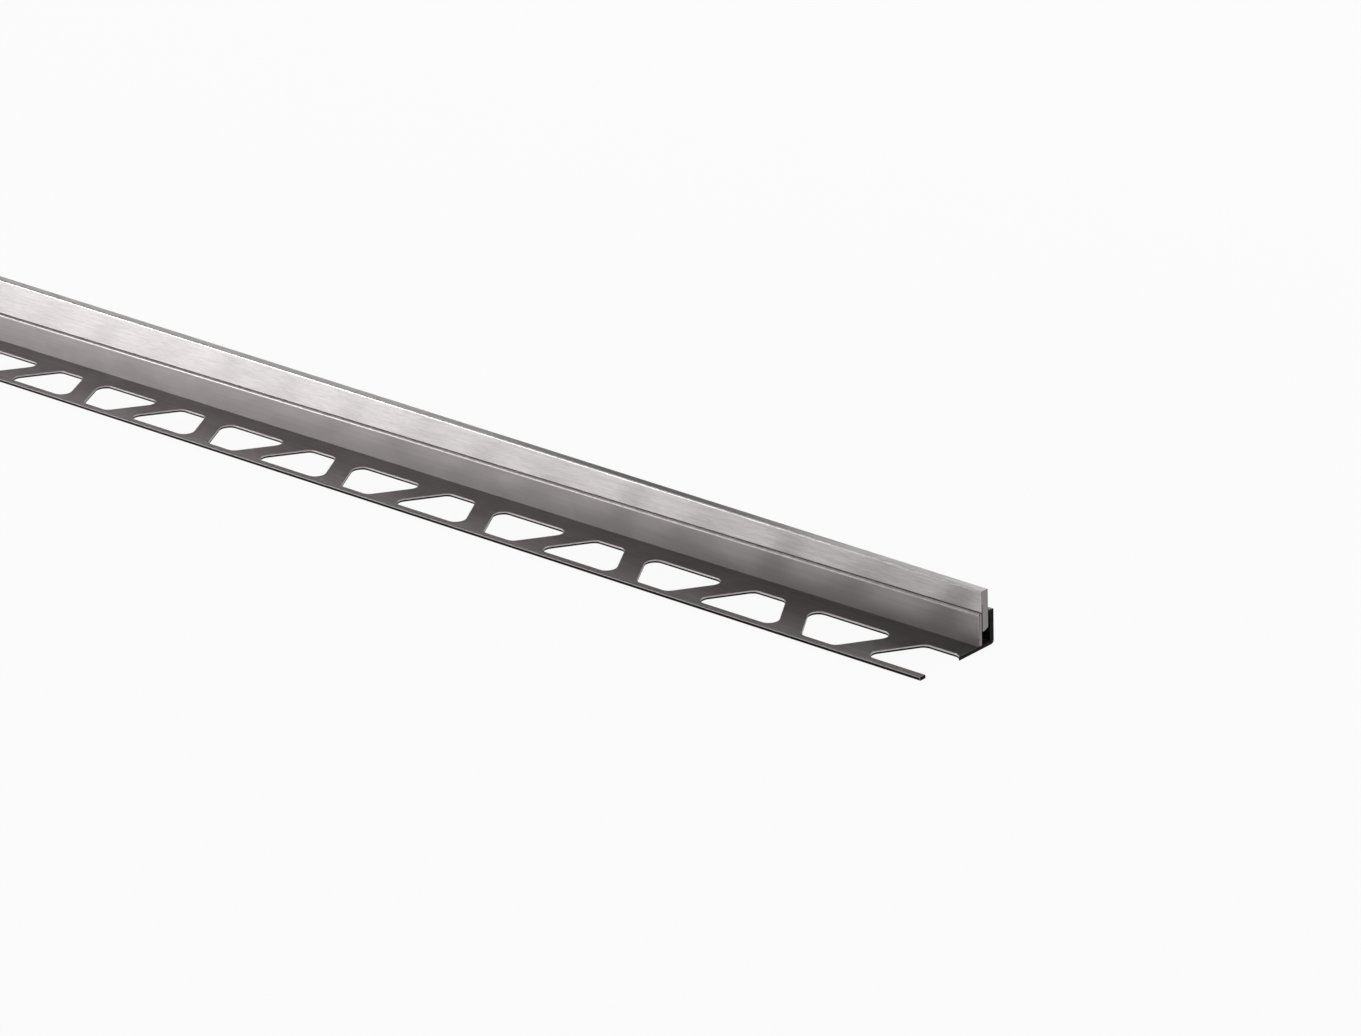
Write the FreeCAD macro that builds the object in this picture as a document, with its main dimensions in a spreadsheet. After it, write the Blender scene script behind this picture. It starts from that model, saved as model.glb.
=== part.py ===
import FreeCAD, Part

import math
import os

import Sketcher

# A shower edge profile in two pieces.
# The support profile is one extrusion: a perforated anchoring leg that is bedded in tile
# adhesive, a front wall that the tiles butt against, and a narrow channel behind that wall.
# The wedge insert stands in the channel. Its lip hangs over the front wall, and its upper
# edge climbs along the shower floor's fall.
#
# X runs along the profile, with the low end of the wedge at +X. Y runs from the free edge
# of the leg at -Y to the back of the channel at +Y. Z is up. The origin is the middle of
# the footprint, on the underside of the leg. Millimetres.

SIZES = {
    # Support profile
    "profile_length": 1000.0,
    "leg_sheet": 1.0,
    "leg_reach": 23.6,
    "wall_rise": 9.0,
    "wall_sheet": 1.1,
    "wall_round": 0.4,
    "back_rise": 8.7,
    "back_sheet": 1.4,
    "back_top_round": 0.3,
    "back_foot_round": 1.0,
    # Perforation of the leg: what is left of the sheet around the holes
    "pair_pitch": 58.0,
    "first_hole_in": 6.6,
    "wall_land": 6.8,
    "free_strip": 2.1,
    "web_width": 8.25,
    "web_lean": 9.7,
    "hole_round": 2.7,
    # Wedge insert
    "insert_sheet": 2.2,
    "play_front": 0.3,
    "play_back": 0.9,
    "foot_lift": 3.7,
    "foot_bevel_in": 1.55,
    "foot_bevel_up": 0.6,
    "lip_setback": 0.85,
    "lip_sheet": 0.35,
    "lip_drop": 2.0,
    "lip_play": 0.4,
    "low_rise": 14.9,
    "fall_percent": 1.4,
    "top_round": 0.35,
}

SHEET = "Sizes"

# Places across the profile, from the free edge of the leg
WALL_FACE = "{leg_reach}"
WALL_INSIDE = "{leg_reach} + {wall_sheet}"
INSERT_FRONT = WALL_INSIDE + " + {play_front}"
INSERT_BACK = INSERT_FRONT + " + {insert_sheet}"
CHANNEL_BACK = INSERT_BACK + " + {play_back}"
OVERALL_WIDTH = CHANNEL_BACK + " + {back_sheet}"
LIP_FRONT = "{leg_reach} + {lip_setback}"
LIP_BACK = LIP_FRONT + " + {lip_sheet}"
HOLE_BACK = "{leg_reach} - {wall_land}"
HOLE_FRONT = "{free_strip}"

# Heights above the underside of the leg
LEG_TOP = "{leg_sheet}"
WALL_TOP = "{leg_sheet} + {wall_rise}"
BACK_TOP = "{leg_sheet} + {back_rise}"
FOOT = "{leg_sheet} + {foot_lift}"
LIP_LOW = WALL_TOP + " + {lip_play}"
SLIT_TOP = LIP_LOW + " + {lip_drop}"
LOW_TOP = "{leg_sheet} + {low_rise}"

# Widths of a hole along the profile: the webs between holes take the rest of the pitch
HOLE_STEP = "{pair_pitch} / 2"
HOLE_LONG = "(" + HOLE_STEP + " - {web_width} + {web_lean})"
HOLE_SHORT = "(" + HOLE_STEP + " - {web_width} - {web_lean})"

# Places along the profile: its ends, and the saw cut's run past them
HALF = "{profile_length} / 2"
OVERRUN = "{profile_length} / 50"
SAW_LOW_X = HALF + " + " + OVERRUN
SAW_LOW_Z = LOW_TOP + " - {fall_percent} / 100 * " + OVERRUN
SAW_HIGH_Z = LOW_TOP + " + {fall_percent} / 100 * ({profile_length} + " + OVERRUN + ")"


def make_document():
    """Open the document and put every size in its spreadsheet, under its own name."""
    doc = FreeCAD.newDocument("shower_edge_profile")
    sheet = doc.addObject("Spreadsheet::Sheet", SHEET)
    for row, (name, size) in enumerate(SIZES.items(), start=1):
        sheet.set("A%d" % row, name)
        sheet.set("B%d" % row, str(size))
        sheet.setAlias("B%d" % row, name)
    doc.recompute()
    return doc


def rule(text):
    """Write a rule between sizes as an expression on the spreadsheet."""
    return text.replace("{", SHEET + ".").replace("}", "")


def value(owner, text):
    """Work out what a rule gives at present."""
    found = owner.evalExpression(rule(text))
    return float(getattr(found, "Value", found))


def bind(owner, prop, text):
    """Tie a property to a rule."""
    owner.setExpression(prop, rule(text))


def origin_plane(body, role):
    """Find one of the body's own origin planes or axes by its role."""
    for feature in body.Origin.OriginFeatures:
        if feature.Role == role:
            return feature
    raise LookupError(role)


def new_body(doc, name):
    """Start a body whose own Y zero is the free edge of the leg."""
    body = doc.addObject("PartDesign::Body", name)
    body.Label = name
    bind(body, "Placement.Base.y", "-(" + OVERALL_WIDTH + ") / 2")
    return body


def new_sketch(body, name, role):
    """Start a sketch on one of the body's origin planes."""
    sketch = body.newObject("Sketcher::SketchObject", name)
    sketch.AttachmentSupport = [(origin_plane(body, role), "")]
    sketch.MapMode = "FlatFace"
    return sketch


def fix_distance(sketch, kind, geometry, text):
    """Hold the start of a line at a ruled distance from the sketch's origin."""
    index = sketch.addConstraint(
        Sketcher.Constraint(kind, -1, 1, geometry, 1, value(sketch, text)))
    bind(sketch, "Constraints[%d]" % index, text)


def corner_round(corner, before, after, radius):
    """Find the arc that rounds a corner of an outline drawn anticlockwise.

    Returns where the arc meets the line before and the line after, the arc itself, and
    the numbers of its two ends in the order in which the outline runs through them.
    """
    back = (before - corner).normalize()
    ahead = (after - corner).normalize()
    half = back.getAngle(ahead) / 2
    start = corner + back * (radius / math.tan(half))
    finish = corner + ahead * (radius / math.tan(half))
    centre = corner + (back + ahead).normalize() * (radius / math.sin(half))
    circle = Part.Circle(centre, FreeCAD.Vector(0, 0, 1), radius)
    inward = back.cross(ahead).z > 0
    first, last = (finish, start) if inward else (start, finish)
    angles = [math.atan2(end.y - centre.y, end.x - centre.x) for end in (first, last)]
    return start, finish, Part.ArcOfCircle(circle, *angles), (2, 1) if inward else (1, 2)


def add_outline(sketch, corners):
    """Draw a closed outline anticlockwise, with its sharp corners held by rules.

    Each corner is (across, up, radius), all rules; a radius of None leaves it sharp.
    Guide lines join the sharp corners. The drawn lines lie on the guides, and a tangent
    arc joins two of them where the corner is rounded.
    """
    count = len(corners)
    points = [FreeCAD.Vector(value(sketch, across), value(sketch, up), 0)
              for across, up, radius in corners]
    rounds = [None if radius is None else
              corner_round(points[i], points[i - 1], points[(i + 1) % count], value(sketch, radius))
              for i, (across, up, radius) in enumerate(corners)]
    starts = [points[i] if rounds[i] is None else rounds[i][1] for i in range(count)]
    ends = [points[i] if rounds[i] is None else rounds[i][0] for i in range(count)]
    guides = [sketch.addGeometry(Part.LineSegment(points[i], points[(i + 1) % count]), True)
              for i in range(count)]
    lines = [sketch.addGeometry(Part.LineSegment(starts[i], ends[(i + 1) % count]), False)
             for i in range(count)]
    for i, (across, up, radius) in enumerate(corners):
        before, guide_before = lines[i - 1], guides[i - 1]
        sketch.addConstraint(Sketcher.Constraint("Coincident", guide_before, 2, guides[i], 1))
        fix_distance(sketch, "DistanceX", guides[i], across)
        fix_distance(sketch, "DistanceY", guides[i], up)
        if radius is None:
            sketch.addConstraint(Sketcher.Constraint("Coincident", before, 2, lines[i], 1))
            sketch.addConstraint(Sketcher.Constraint("Coincident", lines[i], 1, guides[i], 1))
            continue
        arc = sketch.addGeometry(rounds[i][2], False)
        enter, leave = rounds[i][3]
        sketch.addConstraint(Sketcher.Constraint("Tangent", before, 2, arc, enter))
        sketch.addConstraint(Sketcher.Constraint("Tangent", arc, leave, lines[i], 1))
        sketch.addConstraint(Sketcher.Constraint("PointOnObject", before, 2, guide_before))
        sketch.addConstraint(Sketcher.Constraint("PointOnObject", lines[i], 1, guides[i]))
        index = sketch.addConstraint(Sketcher.Constraint("Radius", arc, value(sketch, radius)))
        bind(sketch, "Constraints[%d]" % index, radius)


def extrude_section(body, name, corners):
    """Extrude a section in the YZ plane to the profile's length, half to each side."""
    sketch = new_sketch(body, name + "_section", "YZ_Plane")
    add_outline(sketch, corners)
    pad = body.newObject("PartDesign::Pad", name)
    pad.Profile = sketch
    pad.Midplane = True
    bind(pad, "Length", "{profile_length}")
    body.Document.recompute()
    return pad


def cut_through(body, name, sketch):
    """Cut the sketch's outlines right through the body, to both sides of its plane."""
    before = body.Shape.Volume
    pocket = body.newObject("PartDesign::Pocket", name)
    pocket.Profile = sketch
    pocket.Type = "ThroughAll"
    pocket.Midplane = True
    body.Document.recompute()
    if not body.Shape.Volume < before:
        raise RuntimeError(name + " cuts nothing")
    return pocket


def trapezoid(middle, front_width, back_width):
    """Give the corners of one perforation, anticlockwise, from its middle along X."""
    return [(middle + " - " + front_width + " / 2", HOLE_FRONT, "{hole_round}"),
            (middle + " + " + front_width + " / 2", HOLE_FRONT, "{hole_round}"),
            (middle + " + " + back_width + " / 2", HOLE_BACK, "{hole_round}"),
            (middle + " - " + back_width + " / 2", HOLE_BACK, "{hole_round}")]


def support_profile(doc):
    """Extrude the support profile and punch its leg with alternating trapezoids."""
    body = new_body(doc, "support_profile")
    extrude_section(body, "support_extrusion", [
        ("0", "0", None),
        (OVERALL_WIDTH, "0", "{back_foot_round}"),
        (OVERALL_WIDTH, BACK_TOP, "{back_top_round}"),
        (CHANNEL_BACK, BACK_TOP, None),
        (CHANNEL_BACK, LEG_TOP, None),
        (WALL_INSIDE, LEG_TOP, None),
        (WALL_INSIDE, WALL_TOP, None),
        (WALL_FACE, WALL_TOP, "{wall_round}"),
        (WALL_FACE, LEG_TOP, None),
        ("0", LEG_TOP, None),
    ])

    # The first hole, cut open by the end at +X, has its long side at the leg's free edge.
    # The next has it at the wall. This pair repeats along the leg.
    first = HALF + " - {first_hole_in}"
    second = first + " - " + HOLE_STEP
    sketch = new_sketch(body, "hole_pair_outline", "XY_Plane")
    add_outline(sketch, trapezoid(first, HOLE_LONG, HOLE_SHORT))
    add_outline(sketch, trapezoid(second, HOLE_SHORT, HOLE_LONG))
    pair = cut_through(body, "hole_pair", sketch)

    punched = body.Shape.Volume
    holes = body.newObject("PartDesign::LinearPattern", "hole_pairs")
    holes.Originals = [pair]
    holes.Direction = (origin_plane(body, "X_Axis"), [""])
    holes.Reversed = True
    pairs = "floor(({profile_length} - {first_hole_in} + " + HOLE_LONG + " / 2) / {pair_pitch})"
    bind(holes, "Occurrences", pairs + " + 1")
    bind(holes, "Length", pairs + " * {pair_pitch}")
    body.Tip = holes
    doc.recompute()
    if not body.Shape.Volume < punched:
        raise RuntimeError("the hole pattern cuts nothing")
    return body


def wedge_insert(doc):
    """Extrude the insert's section, saw its top to the fall and ease the two top edges."""
    body = new_body(doc, "wedge_insert")
    extrude_section(body, "insert_extrusion", [
        (INSERT_FRONT, FOOT, None),
        (INSERT_BACK + " - {foot_bevel_in}", FOOT, None),
        (INSERT_BACK, FOOT + " + {foot_bevel_up}", None),
        (INSERT_BACK, SAW_HIGH_Z, None),
        (LIP_FRONT, SAW_HIGH_Z, None),
        (LIP_FRONT, LIP_LOW, None),
        (LIP_BACK, LIP_LOW, None),
        (LIP_BACK, SLIT_TOP, None),
        (INSERT_FRONT, SLIT_TOP, None),
    ])

    # The saw's kerf is a wedge-shaped piece of waste, wide open above the insert.
    sketch = new_sketch(body, "fall_outline", "XZ_Plane")
    add_outline(sketch, [
        ("-(" + SAW_LOW_X + ")", SAW_HIGH_Z, None),
        (SAW_LOW_X, SAW_LOW_Z, None),
        (SAW_LOW_X, SAW_HIGH_Z + " + {low_rise}", None),
        ("-(" + SAW_LOW_X + ")", SAW_HIGH_Z + " + {low_rise}", None),
    ])
    fall = cut_through(body, "fall_cut", sketch)

    # Both long edges of the sawn top are eased.
    above = value(sketch, SLIT_TOP)
    long_edges = ["Edge%d" % number for number, edge in enumerate(fall.Shape.Edges, start=1)
                  if edge.BoundBox.ZMin > above and edge.Length > value(sketch, HALF)]
    ease = body.newObject("PartDesign::Fillet", "top_edges")
    ease.Base = (fall, long_edges)
    bind(ease, "Radius", "{top_round}")
    body.Tip = ease
    doc.recompute()
    return body


def check(doc, bodies):
    """Stop if any object has failed or a piece isn't one valid solid."""
    for thing in doc.Objects:
        if "Invalid" in thing.State or "Error" in thing.State:
            raise RuntimeError(thing.Name + " failed: " + ", ".join(thing.State))
    for body in bodies:
        shape = body.Shape
        if shape.isNull() or not shape.isValid() or len(shape.Solids) != 1:
            raise RuntimeError(body.Label + " is not one valid solid")


def main():
    """Build both pieces and write each to its own file."""
    doc = make_document()
    bodies = [support_profile(doc), wedge_insert(doc)]
    doc.recompute()
    check(doc, bodies)
    os.makedirs("parts", exist_ok=True)
    for body in bodies:
        box = body.Shape.BoundBox
        print(body.Label, "%.3f x %.3f x %.3f" % (box.XLength, box.YLength, box.ZLength),
              "volume %.1f" % body.Shape.Volume)
        body.Shape.exportStep("parts/%s.step" % body.Label)


main()
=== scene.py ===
"""Looks of a shower edge profile: a punched aluminium support and a brushed steel wedge."""

import logging
import math
from dataclasses import dataclass
from enum import Enum, IntEnum
from functools import cached_property

import bmesh
import bpy
import numpy as np
from mathutils import Matrix, Vector


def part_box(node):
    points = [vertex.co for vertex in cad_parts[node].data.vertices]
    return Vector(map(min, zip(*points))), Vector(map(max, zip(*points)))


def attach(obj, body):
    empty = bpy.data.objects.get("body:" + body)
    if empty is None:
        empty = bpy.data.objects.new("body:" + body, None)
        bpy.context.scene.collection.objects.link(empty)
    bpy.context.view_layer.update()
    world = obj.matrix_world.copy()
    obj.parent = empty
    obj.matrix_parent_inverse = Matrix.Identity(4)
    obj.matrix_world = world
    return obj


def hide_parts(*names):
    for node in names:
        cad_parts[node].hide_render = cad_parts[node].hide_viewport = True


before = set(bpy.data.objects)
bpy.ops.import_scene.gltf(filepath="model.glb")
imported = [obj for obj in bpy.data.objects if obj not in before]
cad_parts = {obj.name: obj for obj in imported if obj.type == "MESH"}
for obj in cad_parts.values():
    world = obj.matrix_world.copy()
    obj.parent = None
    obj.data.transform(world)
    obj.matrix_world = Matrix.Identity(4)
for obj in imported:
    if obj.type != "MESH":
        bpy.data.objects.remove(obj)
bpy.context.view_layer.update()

LOG = logging.getLogger("shower_edge_profile")
MM = 0.001
EDGE_ATTRIBUTE = "edge"
GRAIN_MAP = "grain"
SMOOTH_ANGLE = math.radians(35)
FLAT_FACE_WEIGHT = 100

# Points closer than WELD are one point, and an edge shorter than SLIVER is dissolved.
WELD = 0.001 * MM
SLIVER = 0.01 * WELD

# In widths of a sawn end's eased rim: how far in a line of points keeps the skin's shading flat,
# and how close the rim's inner points may come before they are merged.
GUARD_LINE = 3
RIM_MERGE = 0.4

# A face whose normal is this close to X, as the length of its part across X, is an end face.
END_SLANT = 0.1

Colour = tuple[float, float, float]
Corner = tuple[float, float, float]
Place = tuple[float, float, float]
Socket = bpy.types.NodeSocket


class HoleKind(Enum):
    """Where a punched trapezoid has its long side. Its value is the sign of its flanks' lean."""

    LONG_AT_EDGE = 1
    LONG_AT_WALL = -1


class Surface(IntEnum):
    """The surfaces of a piece, numbered in the order of its materials.

    Attributes:
        SKIN: The drawn or brushed skin.
        SAWN: The ends.
        PUNCHED: The walls of the holes.
        TRIMMED: The lower part of the leg's free edge.
        LEG: The skin of the leg.
    """

    SKIN = 0
    SAWN = 1
    PUNCHED = 2
    TRIMMED = 3
    LEG = 4


@dataclass(frozen=True)
class Outline:
    """Points along an outline, with its outward direction and how rounded it is at each.

    Attributes:
        points: The points, one row each.
        normals: The outward direction at each point.
        edge: 1 at the middle of a rounded corner, falling to 0 on the straight sides.
    """

    points: np.ndarray
    normals: np.ndarray
    edge: np.ndarray


def round_corner(before: np.ndarray, at: np.ndarray, after: np.ndarray, radius: float,
                 steps: int) -> tuple[np.ndarray, np.ndarray]:
    """Round one corner of an outline drawn anticlockwise.

    The arc is its centre plus the radius times a direction that turns evenly from one side's
    normal to the other's. The centre lies a radius inside both sides. At an inward corner the
    turn and the radius are negative, which puts the centre outside.

    Args:
        before: The corner before this one.
        at: This corner.
        after: The corner after it.
        radius: The arc's radius. With 0 the corner stays one sharp point.
        steps: Into how many steps the arc is divided.

    Returns:
        The arc's points and their outward directions.
    """
    way_in = (at - before) / np.linalg.norm(at - before)
    way_out = (after - at) / np.linalg.norm(after - at)
    normal_in = np.array([way_in[1], -way_in[0]])
    normal_out = np.array([way_out[1], -way_out[0]])
    if radius == 0:
        return at[None], normal_out[None]
    turn = math.atan2(way_in[0] * way_out[1] - way_in[1] * way_out[0], way_in @ way_out)
    angles = math.atan2(normal_in[1], normal_in[0]) + turn * np.linspace(0, 1, steps + 1)
    directions = np.stack([np.cos(angles), np.sin(angles)], axis=1)
    bulge = math.copysign(radius, turn)
    centre = at - bulge * (normal_in + normal_out) / (1 + normal_in @ normal_out)
    return centre + bulge * directions, directions


def round_outline(corners: list[Corner], steps: int, sides: int, closed: bool) -> Outline:
    """Round the corners of an outline drawn anticlockwise, and divide its sides evenly.

    A closed outline starts at the middle of its first corner's arc, so that each side, from
    mid-arc to mid-arc, has the same number of steps. An open one starts at its first corner,
    ends at its last and rounds neither.

    Args:
        corners: The sharp corners, each as two coordinates and a radius.
        steps: Steps in each arc, an even number.
        sides: Steps in each straight side.
        closed: Whether the last corner joins the first.

    Returns:
        The rounded outline. A closed one doesn't repeat its first point.
    """
    flat = [np.array(corner[:2]) for corner in corners]
    last = len(flat) - 1
    arcs = []
    for number, (at, corner) in enumerate(zip(flat, corners)):
        if closed or 0 < number < last:
            after = flat[(number + 1) % len(flat)]
            arcs.append(round_corner(flat[number - 1], at, after, corner[2], steps))
        else:
            along = flat[1] - flat[0] if number == 0 else flat[-1] - flat[-2]
            normal = np.array([along[1], -along[0]]) / np.linalg.norm(along)
            arcs.append((at[None], normal[None]))
    points, normals, edge = [], [], []
    share = np.linspace(0, 1, sides + 1)[1:-1, None]
    for number, (arc, directions) in enumerate(arcs):
        points.append(arc)
        normals.append(directions)
        edge.append(np.sin(np.linspace(0, math.pi, len(arc))) if len(arc) > 1 else np.zeros(1))
        if closed or number < last:
            start, way = arcs[(number + 1) % len(arcs)]
            points.append(arc[-1] + share * (start[0] - arc[-1]))
            normals.append(np.repeat(way[:1], sides - 1, axis=0))
            edge.append(np.zeros(sides - 1))
    shift = -(steps // 2) if closed else 0
    parts = (np.roll(np.concatenate(part), shift, axis=0) for part in (points, normals, edge))
    return Outline(*parts)


def divide_sides(corners: np.ndarray, steps: int) -> np.ndarray:
    """Divide each side of a closed polygon evenly.

    A point is its corner plus a share, from 0 up to but not including 1, of the way to the next.

    Args:
        corners: The polygon's corners, one row each.
        steps: Steps in each side.

    Returns:
        The points, starting at the first corner.
    """
    share = np.linspace(0, 1, steps, endpoint=False)[None, :, None]
    way = np.roll(corners, -1, axis=0) - corners
    return (corners[:, None] + share * way[:, None]).reshape(-1, 2)


def read(items: bpy.types.bpy_prop_collection, key: str, width: int = 1,
         kind: type = np.float32) -> np.ndarray:
    """Read a value of each item of a mesh.

    Args:
        items: The items, such as its vertices or faces.
        key: The value's name.
        width: How many numbers it has.
        kind: The numbers' type.

    Returns:
        The values, as rows where each has more than one number.
    """
    values = np.empty(width * len(items), kind)
    items.foreach_get(key, values)
    return values if width == 1 else values.reshape(-1, width)


def add_object(name: str, data: bpy.types.ID) -> bpy.types.Object:
    """Add an object to the scene.

    Args:
        name: The object's name.
        data: The mesh, lamp or camera that it holds.

    Returns:
        The new object.
    """
    made = bpy.data.objects.new(name, data)
    bpy.context.scene.collection.objects.link(made)
    return made


class Shell:
    """Grids of points that are welded into one closed skin and sawn to length."""

    def __init__(self) -> None:
        """Start with nothing."""
        self.points: list[np.ndarray] = []
        self.quads: list[np.ndarray] = []
        self.surfaces: list[np.ndarray] = []
        self.edges: list[np.ndarray] = []
        self.count = 0

    def add_grid(self, points: np.ndarray, edge: np.ndarray, around: bool,
                 surfaces: np.ndarray | Surface = Surface.SKIN) -> None:
        """Add a grid of points, with a face between each four that are neighbours.

        Args:
            points: The points, in rows and columns.
            edge: How rounded the skin is at each point, from 0 to 1.
            around: Whether the last column joins the first.
            surfaces: The surface of all the faces, or of each row of faces.
        """
        rows, columns = points.shape[:2]
        index = self.count + np.arange(rows * columns).reshape(rows, columns)
        if around:
            index = np.concatenate([index, index[:, :1]], axis=1)
        quads = np.stack([index[:-1, :-1], index[:-1, 1:], index[1:, 1:], index[1:, :-1]],
                         axis=-1)
        by_row = np.broadcast_to(np.asarray(surfaces).reshape(-1, 1), quads.shape[:2])
        self.points.append(points.reshape(-1, 3))
        self.quads.append(quads.reshape(-1, 4))
        self.surfaces.append(by_row.reshape(-1))
        self.edges.append(np.broadcast_to(edge, (rows, columns)).reshape(-1))
        self.count += rows * columns

    def make_mesh(self, name: str) -> bpy.types.Mesh:
        """Put the grids into a mesh.

        Args:
            name: The mesh's name.

        Returns:
            The mesh, still unwelded and open at both ends.
        """
        mesh = bpy.data.meshes.new(name)
        mesh.from_pydata(np.concatenate(self.points).tolist(), [],
                         np.concatenate(self.quads).tolist())
        surfaces = np.concatenate(self.surfaces).astype(np.int32)
        mesh.polygons.foreach_set("material_index", surfaces)
        edge = mesh.attributes.new(EDGE_ATTRIBUTE, "FLOAT", "POINT")
        edge.data.foreach_set("value", np.concatenate(self.edges).astype(np.float32))
        return mesh

    @staticmethod
    def saw(skin: bmesh.types.BMesh, x: float, ease: float) -> None:
        """Saw one end off square to X and close it with a face whose rim is eased.

        The skin is cut a rim's width short of the end. The face that closes it is then drawn in
        and pushed out by that width.

        Args:
            skin: The welded skin, which runs past the cut.
            x: Where the finished end lies. Its sign says which side falls away.
            ease: The rim's width, both along the profile and into the end face.
        """
        way = math.copysign(1, x)
        for inward, cut_off in ((GUARD_LINE * ease, False), (ease, True)):
            everything = [*skin.verts, *skin.edges, *skin.faces]
            bmesh.ops.bisect_plane(skin, geom=everything, dist=WELD, clear_outer=cut_off,
                                   plane_co=(x - way * inward, 0, 0), plane_no=(way, 0, 0))
        rim = [edge for edge in skin.edges
               if edge.is_boundary and edge.verts[0].co.x * way > 0]
        ends = bmesh.ops.holes_fill(skin, edges=rim)["faces"]
        bmesh.ops.recalc_face_normals(skin, faces=ends)
        for face in ends:
            face.material_index = Surface.SAWN
            if face.normal.x * way < 0:
                face.normal_flip()
        bmesh.ops.inset_region(skin, faces=ends, thickness=ease, depth=ease, use_boundary=True,
                               use_even_offset=True)
        inner = list(dict.fromkeys(vertex for face in ends for vertex in face.verts))
        bmesh.ops.remove_doubles(skin, verts=inner, dist=RIM_MERGE * ease)
        bmesh.ops.triangulate(skin, faces=[face for face in skin.faces if len(face.verts) > 4])

    @staticmethod
    def mark_rims(mesh: bpy.types.Mesh, half_length: float, ease: float) -> None:
        """Mark where the eased rims of the sawn ends are rounded.

        The mark is 1 where the rim leaves the skin, a rim's width short of the end, and 0 on the
        end itself.

        Args:
            mesh: The finished mesh.
            half_length: The finished ends lie this far from the middle.
            ease: The rim's width.
        """
        short = half_length - np.abs(read(mesh.vertices, "co", 3)[:, 0])
        values = mesh.attributes[EDGE_ATTRIBUTE].data
        edge = read(values, "value")
        edge[np.abs(short - ease) < 2 * WELD] = 1
        edge[short < 2 * WELD] = 0
        values.foreach_set("value", edge)

    @staticmethod
    def map_grain(mesh: bpy.types.Mesh) -> None:
        """Give each face a flat map in metres: U across the grain, V along the profile.

        U is the place measured along the face's own level line across the profile, which is the
        face's normal turned a quarter about X. An end face is mapped straight on, by Y and Z.

        Args:
            mesh: The finished mesh.
        """
        corners = read(mesh.polygons, "loop_total", kind=np.int32)
        normals = np.repeat(read(mesh.polygons, "normal", 3), corners, axis=0)
        where = read(mesh.loops, "vertex_index", kind=np.int32)
        x, y, z = read(mesh.vertices, "co", 3)[where].T
        length = np.hypot(normals[:, 1], normals[:, 2])
        end = length < END_SLANT
        length[end] = 1
        across = (normals[:, 1] * z - normals[:, 2] * y) / length
        flat = np.stack([np.where(end, y, across), np.where(end, z, x)], axis=1)
        grain = mesh.uv_layers.new(name=GRAIN_MAP)
        grain.uv.foreach_set("vector", flat.astype(np.float32).reshape(-1))

    def build(self, name: str, half_length: float, ease: float) -> bpy.types.Object:
        """Weld the grids, saw both ends and make the piece.

        Args:
            name: The piece's name.
            half_length: The finished ends lie this far from the middle.
            ease: The width of the eased rim of the sawn ends.

        Returns:
            The finished piece, in the scene.
        """
        mesh = self.make_mesh(name)
        skin = bmesh.new()
        skin.from_mesh(mesh)
        bmesh.ops.remove_doubles(skin, verts=skin.verts, dist=WELD)
        for end in (half_length, -half_length):
            self.saw(skin, end, ease)
        bmesh.ops.dissolve_degenerate(skin, dist=SLIVER, edges=skin.edges)
        bmesh.ops.recalc_face_normals(skin, faces=skin.faces)
        open_edges = sum(1 for edge in skin.edges if not edge.is_manifold)
        skin.to_mesh(mesh)
        skin.free()
        mesh.polygons.foreach_set("use_smooth", np.ones(len(mesh.polygons), bool))
        mesh.set_sharp_from_angle(angle=SMOOTH_ANGLE)
        self.mark_rims(mesh, half_length, ease)
        self.map_grain(mesh)
        piece = add_object(name, mesh)
        weigh = piece.modifiers.new("flat_faces_lead", "WEIGHTED_NORMAL")
        weigh.keep_sharp = True
        weigh.weight = FLAT_FACE_WEIGHT
        LOG.info("%s: %d faces, %d open edges", name, len(mesh.polygons), open_edges)
        return piece


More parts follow.
